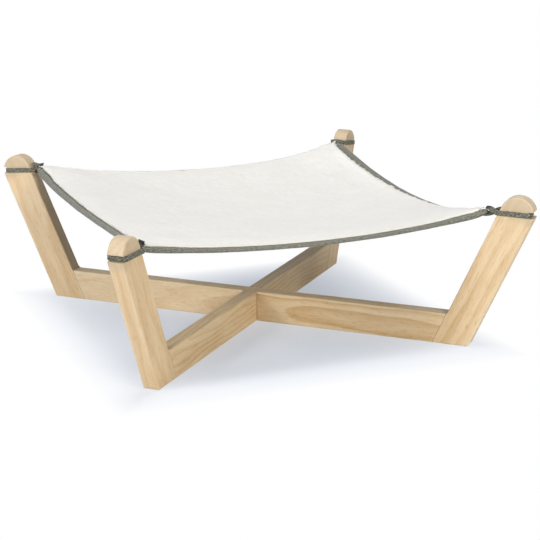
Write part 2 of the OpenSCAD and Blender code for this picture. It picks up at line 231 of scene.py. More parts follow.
def hardwood(name, foot, turn_deg, tilt_deg, pith, run_out_deg, figure, width_from_mm, seam=False,
             painted_light=0.0):
    """Oiled pale hardwood: rings about a wandering pith line, streaks, short pores and staves.

    Object coordinates are turned into the board's own: X across its width, Y through its thickness,
    Z along its grain, in millimetres. The rings are the distance to the pith line, bent by noise. The
    pith runs out of the board at an angle, so that a broad face cuts the rings in long arches.
    """
    material, tree = new_material(name)
    place = add(tree, "ShaderNodeTexCoord", {}, out="Object")
    board = add(tree, "ShaderNodeMapping", {
        "Vector": place, "Location": foot,
        "Rotation": (0, math.radians(tilt_deg), math.radians(turn_deg))}, {"vector_type": "TEXTURE"})
    flat = add(tree, "ShaderNodeVectorMath", {0: board, 1: (1000, 1000, 1000)}, {"operation": "MULTIPLY"})
    sawn = add(tree, "ShaderNodeMapping", {"Vector": flat, "Rotation": (math.radians(run_out_deg), 0, 0)})
    grain = add(tree, "ShaderNodeVectorMath", {0: sawn, 1: pith}, {"operation": "ADD"})
    noise = {}
    for label, (across, along, detail) in grain_sizes_mm.items():
        cell = add(tree, "ShaderNodeVectorMath", {0: grain, 1: (1 / across, 1 / across, 1 / along)},
                   {"operation": "MULTIPLY"})
        noise[label] = add(tree, "ShaderNodeTexNoise",
                           {"Vector": cell, "Scale": 1.0, "Detail": detail, "Roughness": 0.6},
                           out="Color" if label == "bend" else "Fac")

    bend = add(tree, "ShaderNodeVectorMath", {0: noise["bend"], 1: (-0.5, -0.5, -0.5)},
               {"operation": "ADD"})
    bend = add(tree, "ShaderNodeVectorMath", {0: bend, 1: (ring_bend_mm, ring_bend_mm, 0)},
               {"operation": "MULTIPLY"})
    bent = add(tree, "ShaderNodeVectorMath", {0: grain, 1: bend}, {"operation": "ADD"})
    to_pith = add(tree, "ShaderNodeVectorMath", {0: bent, 1: (1, 1, ring_narrowing)},
                  {"operation": "MULTIPLY"})
    radius = add(tree, "ShaderNodeVectorMath", {0: to_pith}, {"operation": "LENGTH"}, "Value")
    ring = add(tree, "ShaderNodeMath", {0: radius, 1: ring_spacing_mm}, {"operation": "DIVIDE"})
    ring = add(tree, "ShaderNodeMath", {0: ring}, {"operation": "FRACT"})
    rise = add(tree, "ShaderNodeMapRange", {0: ring, 1: late_from, 2: late_full},
               {"interpolation_type": "SMOOTHSTEP"})
    drop = add(tree, "ShaderNodeMapRange", {0: ring, 1: late_end, 2: 1.0, 3: 1.0, 4: 0.0})
    late = add(tree, "ShaderNodeMath", {0: rise, 1: drop, 2: -late_middle}, {"operation": "MULTIPLY_ADD"})
    along = add(tree, "ShaderNodeSeparateXYZ", {0: flat}, out=2)
    strength = add(tree, "ShaderNodeMapRange", {0: along, 1: figure_along_mm[0], 2: figure_along_mm[1],
                                                3: figure[0], 4: figure[1]})
    late = add(tree, "ShaderNodeMath", {0: late, 1: strength}, {"operation": "MULTIPLY"})
    pores = add(tree, "ShaderNodeMapRange", {0: noise["fleck"], 1: pore_noise[0], 2: pore_noise[1]})
    specks = add(tree, "ShaderNodeMapRange", {0: noise["dust"], 1: speck_noise[0], 2: speck_noise[1]})
    across = add(tree, "ShaderNodeSeparateXYZ", {0: grain}, out=0)
    strip = add(tree, "ShaderNodeMath", {0: across, 1: stave_width_mm}, {"operation": "DIVIDE"})
    strip = add(tree, "ShaderNodeMath", {0: strip}, {"operation": "FLOOR"})
    stave = add(tree, "ShaderNodeTexWhiteNoise", {"W": strip}, {"noise_dimensions": "1D"}, "Value")
    # Painted light: towards one end of a rail the tone is set paler, where more light falls.
    tone = add(tree, "ShaderNodeMapRange", {0: along, 1: painted_light_along_mm[0], 2: painted_light_along_mm[1],
                                            3: base_tone - painted_light, 4: base_tone})
    for part, weight in ((noise["streak"], 0.42), (noise["cloud"], 0.36), (late, 1.0),
                         (stave, 0.05), (pores, 0.26), (specks, 0.16)):
        tone = add(tree, "ShaderNodeMath", {0: part, 1: weight, 2: tone}, {"operation": "MULTIPLY_ADD"})
    colour = add(tree, "ShaderNodeValToRGB", {0: tone}, {"stops": (
        (0.0, "#EEDEC2"), (0.32, "#E0C8A5"), (0.62, "#CDAB7D"), (1.0, "#9E794D"))})

    own = add(tree, "ShaderNodeSeparateXYZ", {0: flat}, out=0)
    through = add(tree, "ShaderNodeSeparateXYZ", {0: flat}, out=1)
    width_mm = rail_height_mm if seam else post_width_mm
    aside = add(tree, "ShaderNodeMath", {0: own, 1: width_from_mm + width_mm / 2},
                {"operation": "SUBTRACT"})
    corner = None
    for offset, half in ((aside, width_mm / 2), (through, board_half_mm)):
        far = add(tree, "ShaderNodeMath", {0: offset}, {"operation": "ABSOLUTE"})
        near_edge = add(tree, "ShaderNodeMapRange", {0: far, 1: half - arris_pale_from_mm, 2: half - arris_pale_to_mm})
        corner = near_edge if corner is None else add(
            tree, "ShaderNodeMath", {0: corner, 1: near_edge}, {"operation": "MULTIPLY"})
    # Painted highlight along the arrises, with some real wear: the edges are mixed towards a pale colour.
    wear_and_highlight = add(tree, "ShaderNodeMath", {0: corner, 1: wear_and_highlight_share}, {"operation": "MULTIPLY"})
    colour = add(tree, "ShaderNodeMix", {0: wear_and_highlight, 6: colour, 7: linear("#F0DFC6")},
                 {"data_type": "RGBA"}, 2)
    if seam:
        along = add(tree, "ShaderNodeMath", {0: along}, {"operation": "ABSOLUTE"})
        end = add(tree, "ShaderNodeMath",
                  {0: own, 1: -math.tan(math.radians(post_lean)), 2: rail_half * 1000},
                  {"operation": "MULTIPLY_ADD"})
        to_end = add(tree, "ShaderNodeMath", {0: end, 1: along}, {"operation": "SUBTRACT"})
        glue_and_lap_shade = add(tree, "ShaderNodeMapRange", {0: to_end, 1: 0.0, 2: glue_line_mm, 3: 1.0, 4: 0.0})
        wall = board_half_mm + lap_play_mm
        outside = add(tree, "ShaderNodeMapRange",
                      {0: along, 1: wall + lap_blur_mm[0], 2: wall + lap_blur_mm[1]})
        painted_lap_shade = add(tree, "ShaderNodeMapRange", {0: along, 1: wall + lap_blur_mm[1], 2: wall + lap_line_mm,
                                               3: 1.0 if name.endswith("lower_rail") else 0.0, 4: 0.0})
        painted_lap_shade = add(tree, "ShaderNodeMath", {0: painted_lap_shade, 1: outside}, {"operation": "MULTIPLY"})
        # Painted shade in the lap's gap joins the real glue line, and both are mixed towards dark brown.
        glue_and_lap_shade = add(tree, "ShaderNodeMath", {0: glue_and_lap_shade, 1: painted_lap_shade}, {"operation": "MAXIMUM"})
        colour = add(tree, "ShaderNodeMix", {0: glue_and_lap_shade, 6: colour, 7: linear("#6B4E30")},
                     {"data_type": "RGBA"}, 2)
    else:
        top = add(tree, "ShaderNodeMapRange",
                  {0: along, 1: dome_from_mm, 2: dome_to_mm, 3: 0.0, 4: dome_share})
        colour = add(tree, "ShaderNodeMix", {0: top, 6: colour, 7: linear("#BBAE9A")},
                     {"data_type": "RGBA"}, 2)
    relief = add(tree, "ShaderNodeMath", {0: pores, 1: -pore_depth, 2: noise["streak"]},
                 {"operation": "MULTIPLY_ADD"})
    bump = add(tree, "ShaderNodeBump", {"Strength": 0.4, "Distance": 0.0003, "Height": relief})
    sanded = add(tree, "ShaderNodeMath", {0: noise["streak"], 1: rough_streak, 2: rough_base},
                 {"operation": "MULTIPLY_ADD"})
    surface = add(tree, "ShaderNodeBsdfPrincipled", {
        "Base Color": colour, "Roughness": sanded, "Normal": bump, "IOR": 1.46})
    add(tree, "ShaderNodeOutputMaterial", {"Surface": surface})
    return material


def dress(node, material):
    """Gives a CAD node one material in place of its own."""
    nodes[node].data.materials.clear()
    nodes[node].data.materials.append(material)


rail_piths = {"lower_rail": (58, 30, 400), "upper_rail": (14, 36, 1700)}
run_outs = {"lower_rail": 1.0, "upper_rail": 5.0}
rail_figures = {"lower_rail": (0.18, 0.18), "upper_rail": (0.10, 0.32)}
# Painted light: the upper rail is painted paler on its arm towards the rear left post, where more light
# falls on it.
rail_painted_light = {"lower_rail": 0.0, "upper_rail": 0.09}
for rail, corner in (("lower_rail", "rear_right"), ("upper_rail", "front_right")):
    dress(rail, hardwood("oiled_hardwood_" + rail, (0, 0, 0), board_turns[corner], 90,
                         rail_piths[rail], run_outs[rail], rail_figures[rail], -rail_height_mm, True,
                         rail_painted_light[rail]))
post_piths = {"front_left": (9, 60, 5100), "front_right": (-75, 24, 6400),
              "rear_right": (40, -38, 7700), "rear_left": (22, 52, 9200)}
for corner, turn_deg in board_turns.items():
    out = math.radians(turn_deg)
    foot = (rail_half * math.cos(out), rail_half * math.sin(out), 0)
    dress("post_" + corner, hardwood("oiled_hardwood_post_" + corner, foot, turn_deg, post_lean,
                                     post_piths[corner], post_run_out, plain_figure, 0.0))

# Two plain hardwood dowels are glued across each joint of rail and post. They are turned rod of the
# same wood and hidden in their holes.
for corner, turn_deg in board_turns.items():
    pith = (15, 12, 1000 + turn_deg * 10)
    rod = hardwood("dowel_rod_" + corner, (0, 0, 0), turn_deg, 90, pith, 0.0, plain_figure, 0.0)
    for level in ("low", "high"):
        dress("dowel_%s_%s" % (corner, level), rod)

# The sling is one square of two cloths: canvas below, fleece above, bound all round with folded tape.
# It hangs by its corners. Each edge bows inwards, sags and hangs over a little at its rim, so that a
# soft ridge runs in from each corner. The tapes pull the corners out a little unevenly.
corner_signs = {"front_left": (-1, -1), "front_right": (1, -1), "rear_right": (1, 1), "rear_left": (-1, 1)}
corner_reach = {"front_left": 0.3180, "front_right": 0.3137, "rear_right": 0.3217, "rear_left": 0.3245}
corner_rise = {"front_left": -0.0018, "front_right": -0.0008, "rear_right": 0.0056, "rear_left": 0.0032}
loop_height, sling_half, middle_sag = 0.17417, 0.2231, 0.034
# Bow and sag of each edge, and how far its rim hangs over near its first and its second corner. A rim
# that turns up there has a value below zero.
edge_shapes = {"front": (0.0001, 0.0141, 0.0043, 0.0052), "right": (0.0014, 0.0256, 0.0057, -0.0137),
               "rear": (0.0123, 0.0178, 0.0070, -0.0025), "left": (-0.0030, 0.0041, 0.0070, 0.0019)}
overhang_reach, ridge_width, corner_blend = 0.045, 0.006, 0.004
hang_out, hang_down = 0.35, 0.9          # shares by which a rim that hangs over goes outwards and down
# Near a corner the tape is narrower and the cloth thicker: from where along the edge, over how much of
# it and by what share.
gather_from, gather_span, gather_share = 0.82, 0.17, 0.40
bunch_from, bunch_span, bunch_share = 0.62, 0.30, 0.5
lattice_cells, lattice_start, noise_half_mm = 512, 200.5, 220


def sling_at(u, v):
    """Middle face of the sling for u and v from -1 to 1 between opposite rims.

    The four corners are blended by bilinear shares. Each edge adds its bow inwards and its sag as a
    parabola along the edge, fading linearly to the opposite edge, and the middle is set to
    middle_sag. Near each rim the cloth also falls off by the square of the distance from
    overhang_reach, times a ridge term that is 0 on the diagonals and rises towards the rims.
    """
    du, dv = 1 - u * u, 1 - v * v
    wu, wv = (1 - np.abs(u)) * sling_half, (1 - np.abs(v)) * sling_half
    ridge = (np.sqrt((wu - wv) ** 2 + ridge_width ** 2) - ridge_width) / (wu + wv + corner_blend)
    x, y, z = 0.0 * (u + v), 0.0 * (u + v), loop_height - middle_sag * du * dv
    for corner, (su, sv) in corner_signs.items():
        share = (1 + su * u) * (1 + sv * v) / 4
        x = x + share * su * corner_reach[corner] / math.sqrt(2)
        y = y + share * sv * corner_reach[corner] / math.sqrt(2)
        z = z + share * corner_rise[corner]
    runs = {"front": (u, -v, du, dv, 0, -1), "right": (v, u, dv, du, 1, 0),
            "rear": (-u, v, du, dv, 0, 1), "left": (-v, -u, dv, du, -1, 0)}
    for edge, (along, towards, bulge, other, ox, oy) in runs.items():
        bow, sag, first, second = edge_shapes[edge]
        share = (1 + towards) / 2
        step = (1 + along) / 2
        hang = first + (second - first) * step * step * (3 - 2 * step)
        hang = hang * ridge * np.clip(1 - (1 - towards) * sling_half / overhang_reach, 0, 1) ** 2
        x = x + ox * (hang_out * hang - share * bow * bulge)
        y = y + oy * (hang_out * hang - share * bow * bulge)
        z = z - hang_down * hang - share * sag * bulge + 0.5 * sag * bulge * other
    return np.stack([x, y, z], -1)


def sling_point(u, v, h):
    """Point at the height h over the sling's middle face, along its normal from small steps."""
    step = 1e-4
    along_u = sling_at(u + step, v) - sling_at(u - step, v)
    along_v = sling_at(u, v + step) - sling_at(u, v - step)
    n = np.cross(along_u, along_v)
    return sling_at(u, v) + np.asarray(h)[..., None] * n / np.linalg.norm(n, axis=-1, keepdims=True)


def rim(w):
    """u or v at the distance w in from the rim."""
    return 1 - np.asarray(w) / sling_half


def gathered(along):
    """Share of the binding's width that is left near a corner, where the tape is drawn together."""
    t = np.clip((np.abs(along) - gather_from) / gather_span, 0, 1)
    return 1 - gather_share * t * t * (3 - 2 * t)


def bunched(along):
    """How much thicker pile and tape lie near a corner, where the cloth is drawn together."""
    t = np.clip((np.abs(along) - bunch_from) / bunch_span, 0, 1)
    return 1 + bunch_share * t * t * (3 - 2 * t)


def lattice_noise(x, y, cell, seed):
    """Smooth noise from -1 to 1: seeded random values on a lattice of cells, blended by smoothstep."""
    values = np.random.default_rng(seed).uniform(-1, 1, (lattice_cells, lattice_cells))
    gx, gy = np.asarray(x) / cell + lattice_start, np.asarray(y) / cell + lattice_start
    ix, iy = np.floor(gx).astype(int), np.floor(gy).astype(int)
    fx, fy = gx - ix, gy - iy
    fx, fy = fx * fx * (3 - 2 * fx), fy * fy * (3 - 2 * fy)
    low, high = iy % lattice_cells, (iy + 1) % lattice_cells
    columns = [(ix + i) % lattice_cells for i in (0, 1)]
    rows = [values[column, low] * (1 - fy) + values[column, high] * fy for column in columns]
    return rows[0] * (1 - fx) + rows[1] * fx


def closed_sheet(name, top, base, material):
    """Sheet between two equal grids of points, closed round its rim."""
    n, m = top.shape[:2]
    index = np.arange(n * m).reshape(n, m)
    a, b, c, d = index[:-1, :-1], index[1:, :-1], index[1:, 1:], index[:-1, 1:]
    top_faces = np.stack([a, b, c, d], -1).reshape(-1, 4)
    base_faces = top_faces[:, ::-1] + n * m
    loop = np.concatenate([index[:-1, 0], index[-1, :-1], index[:0:-1, -1], index[0, :0:-1]])
    after = np.roll(loop, -1)
    side_faces = np.stack([loop, loop + n * m, after + n * m, after], -1)
    return mesh_object(name, np.concatenate([top.reshape(-1, 3), base.reshape(-1, 3)]),
                       [top_faces, base_faces, side_faces], material)


def surface_map(piece, name, first, second):
    """UV map in millimetres on the surface, one pair of values for each vertex."""
    layer = piece.data.uv_layers.new(name=name)
    loops = np.zeros(len(piece.data.loops), int)
    piece.data.loops.foreach_get("vertex_index", loops)
    both = np.stack([np.asarray(first).ravel(), np.asarray(second).ravel()], -1)
    both = np.concatenate([both] * (len(piece.data.vertices) // len(both)))
    layer.data.foreach_set("uv", both[loops].ravel())


# The underside is a plain-weave cotton canvas in grey, cut square and sewn into the binding. It is
# matt, with a visible weave and small slubs.
canvas_thick, thread_mm = 0.001, 1.6     # the real threads are near 0.7 mm and too fine to show
canvas_below, canvas_ripple, canvas_ripple_mm, weave_share = 0.0003, 0.00025, 30, 0.16
canvas_rim, canvas_inner, canvas_steps = [0.0012, 0.0045, 0.008], 0.012, 91
canvas_cloth, tree = new_material("grey_cotton_canvas")
cloth = add(tree, "ShaderNodeUVMap", {}, {"uv_map": "cloth_mm"})
weave = 1.0
for axis in (0, 1):
    thread = add(tree, "ShaderNodeSeparateXYZ", {0: cloth}, out=axis)
    thread = add(tree, "ShaderNodeMath", {0: thread, 1: math.pi / thread_mm}, {"operation": "MULTIPLY"})
    thread = add(tree, "ShaderNodeMath", {0: thread}, {"operation": "SINE"})
    weave = add(tree, "ShaderNodeMath", {0: thread, 1: weave}, {"operation": "MULTIPLY"})
slub = add(tree, "ShaderNodeTexNoise", {"Vector": cloth, "Scale": 0.12, "Detail": 4.0})
shade = add(tree, "ShaderNodeMath", {0: weave, 1: weave_share, 2: slub}, {"operation": "MULTIPLY_ADD"})
tone = add(tree, "ShaderNodeValToRGB", {0: shade}, {"stops": ((0.25, "#6F706A"), (0.75, "#97978F"))})
bump = add(tree, "ShaderNodeBump", {"Strength": 0.5, "Distance": 0.0003, "Height": weave})
surface = add(tree, "ShaderNodeBsdfPrincipled", {
    "Base Color": tone, "Roughness": 0.92, "Normal": bump, "Sheen Weight": 0.15})
add(tree, "ShaderNodeOutputMaterial", {"Surface": surface})

canvas_middle = np.linspace(-rim(canvas_inner), rim(canvas_inner), canvas_steps)
canvas_lines = np.concatenate([-rim(canvas_rim), canvas_middle, rim(canvas_rim[::-1])])
cu, cv = np.meshgrid(canvas_lines, canvas_lines, indexing="ij")
ripple = canvas_ripple * lattice_noise(cu * noise_half_mm, cv * noise_half_mm, canvas_ripple_mm, 3)
canvas = closed_sheet("canvas_base_cloth", sling_point(cu, cv, ripple - canvas_below),
                      sling_point(cu, cv, ripple - canvas_below - canvas_thick), canvas_cloth)
surface_map(canvas, "cloth_mm", cu * sling_half * 1000, cv * sling_half * 1000)
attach(canvas, "sling")
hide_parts("canvas_base")

# The top is a white polyester fleece with a short dense pile. It is sewn flat under the binding, and
# beside the seam the pile stands up and leans out over the tape in a soft roll.
fleece_white, tree = new_material("white_pile_fleece")
cloth = add(tree, "ShaderNodeUVMap", {}, {"uv_map": "cloth_mm"})
clump_mm, fibre_mm, patch_mm = 6.0, 2.0, 45.0     # the single fibres are too fine to show
seam_shade_from_mm, seam_shade_to_mm, seam_shade_share = 10.0, 15.0, 0.38     # by the seam the pile shades itself
fibre_share, patch_share, tone_scale = 0.8, 0.9, 0.5
clumps = add(tree, "ShaderNodeTexNoise", {"Vector": cloth, "Scale": 1 / clump_mm, "Detail": 3.0})
fibres = add(tree, "ShaderNodeTexNoise", {"Vector": cloth, "Scale": 1 / fibre_mm, "Detail": 2.0})
patches = add(tree, "ShaderNodeTexNoise", {"Vector": cloth, "Scale": 1 / patch_mm, "Detail": 2.0})
fluff = add(tree, "ShaderNodeMath", {0: fibres, 1: fibre_share, 2: clumps}, {"operation": "MULTIPLY_ADD"})
brushed = add(tree, "ShaderNodeMath", {0: patches, 1: patch_share, 2: fluff},
              {"operation": "MULTIPLY_ADD"})
brushed = add(tree, "ShaderNodeMath", {0: brushed, 1: tone_scale}, {"operation": "MULTIPLY"})
tone = add(tree, "ShaderNodeValToRGB", {0: brushed}, {"stops": ((0.35, "#EFEEEB"), (0.95, "#FCFBF9"))})
inset = sling_half * 1000
for axis in (0, 1):
    off = add(tree, "ShaderNodeSeparateXYZ", {0: cloth}, out=axis)
    off = add(tree, "ShaderNodeMath", {0: off}, {"operation": "ABSOLUTE"})
    off = add(tree, "ShaderNodeMath", {0: sling_half * 1000, 1: off}, {"operation": "SUBTRACT"})
    inset = add(tree, "ShaderNodeMath", {0: off, 1: inset}, {"operation": "MINIMUM"})
# Painted shade: near the rim the fleece colour is mixed towards grey.
seam_shade = add(tree, "ShaderNodeMapRange",
             {0: inset, 1: seam_shade_from_mm, 2: seam_shade_to_mm, 3: seam_shade_share, 4: 0.0})
tone = add(tree, "ShaderNodeMix", {0: seam_shade, 6: tone, 7: linear("#D6D4CE")}, {"data_type": "RGBA"}, 2)
bump = add(tree, "ShaderNodeBump", {"Strength": 0.28, "Distance": 0.0010, "Height": fluff})
surface = add(tree, "ShaderNodeBsdfPrincipled", {
    "Base Color": tone, "Roughness": 0.97, "Normal": bump,
    "Sheen Weight": 0.2, "Sheen Roughness": 0.6, "Specular IOR Level": 0.2})
add(tree, "ShaderNodeOutputMaterial", {"Surface": surface})

# Section of the fleece at its rim, as distance in and height: flat under the tape, then the roll.
rim_in_mm = np.array([1.2, 5.5, 10.2, 9.2, 9.0, 9.8, 11.4, 13.6, 16.0])
rim_up_mm = np.array([1.1, 1.2, 1.4, 2.6, 3.6, 4.4, 4.9, 5.1, 5.0])
rim_base_mm = np.array([1.2, 5.5, 10.0, 11.0, 12.0, 13.0, 14.0, 15.0, 16.5])
pile_mm, fleece_inner, fleece_steps = 5.0, 0.0185, 150
# The pile curls in three layers of noise, each with its height and cell in millimetres and its seed.
# The curl starts a few lines in from the rim. In front the pile lies flatter, and the roll is ragged.
curl_layers = ((0.30, 8, 11), (0.28, 4.5, 12), (0.45, 42, 13))
curl_from_line, curl_lines = 2, 4
combed_share, combed_reach = 0.40, 0.040
ragged_from_line, ragged_to_line, ragged_reach, ragged_cell_mm = 3, 6, 0.9e-3, 5
inner_lines = np.linspace(-rim(fleece_inner), rim(fleece_inner), fleece_steps)
top_lines = np.concatenate([-rim(rim_in_mm / 1000), inner_lines, rim(rim_in_mm / 1000)[::-1]])
base_lines = np.concatenate([-rim(rim_base_mm / 1000), inner_lines, rim(rim_base_mm / 1000)[::-1]])
from_rim = np.minimum(np.arange(len(top_lines)), np.arange(len(top_lines))[::-1])
ring = np.minimum(*np.meshgrid(from_rim, from_rim, indexing="ij"))
is_rim = from_rim < len(rim_in_mm)


def drawn_in(lines):
    """Grid of u and v from one row of lines, with the rim lines drawn out towards the corners."""
    u, v = np.meshgrid(lines, lines, indexing="ij")
    u2 = np.where(is_rim[:, None], np.sign(u) * (1 - (1 - np.abs(u)) * gathered(v)), u)
    v2 = np.where(is_rim[None, :], np.sign(v) * (1 - (1 - np.abs(v)) * gathered(u)), v)
    return u2, v2


fu, fv = drawn_in(top_lines)
gu, gv = drawn_in(base_lines)
fx, fy = fu * sling_half * 1000, fv * sling_half * 1000
pile = np.where(ring < len(rim_up_mm), rim_up_mm[np.minimum(ring, len(rim_up_mm) - 1)], pile_mm)
curl = sum(height * lattice_noise(fx, fy, cell, seed) for height, cell, seed in curl_layers)
curl = curl * np.clip((ring - curl_from_line) / curl_lines, 0, 1)
combed = 1 - combed_share * np.clip(1 - (1 + fv) * sling_half / combed_reach, 0, 1)
pile = (pile + curl) * bunched(np.minimum(np.abs(fu), np.abs(fv))) * combed
on_roll = (ring >= ragged_from_line) & (ring <= ragged_to_line)
ragged = lattice_noise(fx, fy, ragged_cell_mm, 14) * np.where(on_roll, ragged_reach / sling_half, 0.0)
fleece = closed_sheet("fleece_top_cloth", sling_point(fu * (1 + ragged), fv * (1 + ragged), pile / 1000),
                      sling_point(gu, gv, np.zeros_like(gu)), fleece_white)
surface_map(fleece, "cloth_mm", fx, fy)
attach(fleece, "sling")
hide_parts("fleece_top")

# Loose tufts of pile stand along the seam and lean out over the tape, which gives the cloth its
# ragged edge. Each is a short three-sided horn that narrows to a point and bends down as it runs out.
tuft_rows, tuft_pitch_mm, tuft_span, tuft_reach_share = 4, 1.6, 0.99, (0.3, 1.1)
tuft_reach_mm = np.array([1.7, 3.6, 3.6, 1.8])     # front, right, rear, left
tuft_inset_mm, tuft_lift_mm, tuft_thick_mm, tuft_sway_mm = (9.0, 15.5), (-0.3, 1.2), (0.4, 0.75), 1.0
front_tuft_up, tuft_up, tuft_droop = 0.0024, 0.0040, 0.0014
clump_mean, clump_swing, clump_cell_mm, clump_row_mm = 0.55, 0.9, 6, 30.0
dice = np.random.default_rng(29)
per_edge = int(2 * sling_half * 1000 / tuft_pitch_mm)
count = 4 * tuft_rows * per_edge
side = np.repeat(np.arange(4), tuft_rows * per_edge)
along = dice.uniform(-tuft_span, tuft_span, count)
clump = lattice_noise(along * noise_half_mm, side * clump_row_mm, clump_cell_mm, 31)
clump = clump_mean + clump_swing * clump
inset = dice.uniform(*tuft_inset_mm, count) / 1000 * gathered(along)
reach = dice.uniform(*tuft_reach_share, count) * clump * tuft_reach_mm[side] / 1000
lift = dice.uniform(*tuft_lift_mm, count) / 1000
sway = dice.normal(0, tuft_sway_mm, count) / 1000
thick = dice.uniform(*tuft_thick_mm, count) / 1000
stations = np.array([0.0, 0.45, 0.8, 1.0])
girths = np.array([1.0, 0.9, 0.5, 0.06])
at_w = inset[:, None] - reach[:, None] * stations
root_h = np.where(side == 0, front_tuft_up, tuft_up) * bunched(along)
at_h = root_h[:, None] + lift[:, None] * stations - tuft_droop * stations ** 2
at_a = along[:, None] + sway[:, None] * stations / sling_half
spin = np.array([0, 2, 4]) * math.pi / 3
ring_w = at_w[..., None] + thick[:, None, None] * girths[:, None] * np.sin(spin) * 0.5
ring_h = at_h[..., None] + thick[:, None, None] * girths[:, None] * np.cos(spin)
ring_a = at_a[..., None] + thick[:, None, None] * girths[:, None] * np.sin(spin) / sling_half
edge = rim(ring_w)
turned = side[:, None, None]
tu = np.select([turned == 0, turned == 1, turned == 2], [ring_a, edge, -ring_a], -edge)
tv = np.select([turned == 0, turned == 1, turned == 2], [-edge, ring_a, edge], -ring_a)
k = np.arange(3)
after = (k + 1) % 3
wall = np.concatenate([np.stack([s + k, s + 3 + k, s + 3 + after, s + after], -1) for s in (0, 3, 6)])
ends = np.array([[0, 1, 2], [11, 10, 9]])
first = len(stations) * len(spin) * np.arange(count)[:, None, None]
tuft_faces = [(wall + first).reshape(-1, 4), (ends + first).reshape(-1, 3)]
tufts = mesh_object("fleece_edge_tufts", sling_point(tu, tv, ring_h), tuft_faces, fleece_white)
surface_map(tufts, "cloth_mm", tu * sling_half * 1000, tv * sling_half * 1000)
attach(tufts, "sling")

# Each edge is bound with a grey heathered twill tape, folded lengthwise over canvas and fleece and
# sewn through close to its inner edges. It is soft, so it rolls over the rim and dips at the seam.
binding_tape, tree = new_material("grey_heather_twill_tape")
tape = add(tree, "ShaderNodeUVMap", {}, {"uv_map": "tape_mm"})
rib_mm, fleck_mm = 1.6, 1.5              # twill ribs are near 0.8 mm and are drawn wide enough to show
rib_slant_deg, rib_share, one_wave = 32, 0.26, 0.314     # one_wave: the scale at which a rib is 1 mm wide
slant = add(tree, "ShaderNodeMapping", {"Vector": tape, "Rotation": (0, 0, math.radians(rib_slant_deg))})
ribs = add(tree, "ShaderNodeTexWave", {"Vector": slant, "Scale": one_wave / rib_mm, "Distortion": 1.2,
                                       "Detail": 1.0, "Detail Scale": 2.0}, out="Fac")
stretched = add(tree, "ShaderNodeMapping", {"Vector": tape, "Scale": (0.45, 1.0, 1.0)})
flecks = add(tree, "ShaderNodeTexNoise", {"Vector": stretched, "Scale": 1 / fleck_mm, "Detail": 3.0})
heather = add(tree, "ShaderNodeMath", {0: ribs, 1: rib_share, 2: flecks}, {"operation": "MULTIPLY_ADD"})
tone = add(tree, "ShaderNodeValToRGB", {0: heather}, {"stops": (
    (0.36, "#484942"), (0.60, "#6F7068"), (0.84, "#999A91"))})
bump = add(tree, "ShaderNodeBump", {"Strength": 0.6, "Distance": 0.0004, "Height": heather})
surface = add(tree, "ShaderNodeBsdfPrincipled", {
    "Base Color": tone, "Roughness": 0.9, "Normal": bump,
    "Sheen Weight": 0.2, "Sheen Roughness": 0.5, "Specular IOR Level": 0.3})
add(tree, "ShaderNodeOutputMaterial", {"Surface": surface})

# Section of the folded tape, as distance in from the rim and height: over the rim, then back inside.
tape_in_mm = np.array([10.2, 9.4, 8.2, 7.0, 4.6, 2.2, 0.7, 0.0, 0.7, 2.2, 4.6, 7.0, 8.2, 9.4, 10.2,
                       10.2, 7.0, 2.4, 1.0, 2.4, 7.0, 10.2])
tape_up_mm = np.array([1.70, 1.85, 1.60, 2.05, 2.2, 2.0, 1.35, 0.2, -1.0, -1.75, -1.95, -1.9, -1.65,
                       -1.8, -1.75, -1.4, -1.45, -1.3, 0.15, 1.15, 1.25, 1.20])
edge_names = ("front", "right", "rear", "left")
tape_steps = np.linspace(-1, 1, 300)[1:-1]
stitch_pitch_mm, stitch_mm, thread_r_mm, seam_in_mm = 3.4, 2.8, 0.36, 8.2
# Tape ends meet in a mitre. The seam puckers the tape at each stitch, and long waves run along it.
mitre_gap, tape_overrun, edge_row_mm, sway_row_mm = 0.0003, 1.01, 40.0, 9
pucker_mm, pucker_width_mm, wave_mm, wave_cell_mm = 0.18, 1.6, 0.30, 17
tape_sway, sway_cell_mm = 0.0003, 23


def on_edge(side, along, w, h):
    """Point along an edge (-1 to 1), at the distance w in from its rim and the height h."""
    edge = rim(w)
    u = (along, edge, -along, -edge)[side]
    v = (-edge, along, edge, -along)[side]
    return sling_point(np.asarray(u), np.asarray(v), h)


def swept(name, points, material):
    """Tube from rings of points, one row for each station and one column round the section.

    Its two ends are closed by strips across the section, from each point to the one opposite.
    """
    n, m = points.shape[:2]
    index = np.arange(n * m).reshape(n, m)
    a, b = index[:-1], np.roll(index[:-1], -1, 1)
    c, d = np.roll(index[1:], -1, 1), index[1:]
    k = np.arange(m // 2 - 1)
    caps = [np.stack([row[k + 1], row[k], row[m - 1 - k], row[m - 2 - k]], -1)
            for row in (index[0], index[-1])]
    faces = [np.stack([a, b, c, d], -1).reshape(-1, 4), caps[0], caps[1][:, ::-1]]
    made = mesh_object(name, points, faces, material)
    shell = bmesh.new()
    shell.from_mesh(made.data)
    bmesh.ops.recalc_face_normals(shell, faces=shell.faces)
    shell.to_mesh(made.data)
    shell.free()
    return made


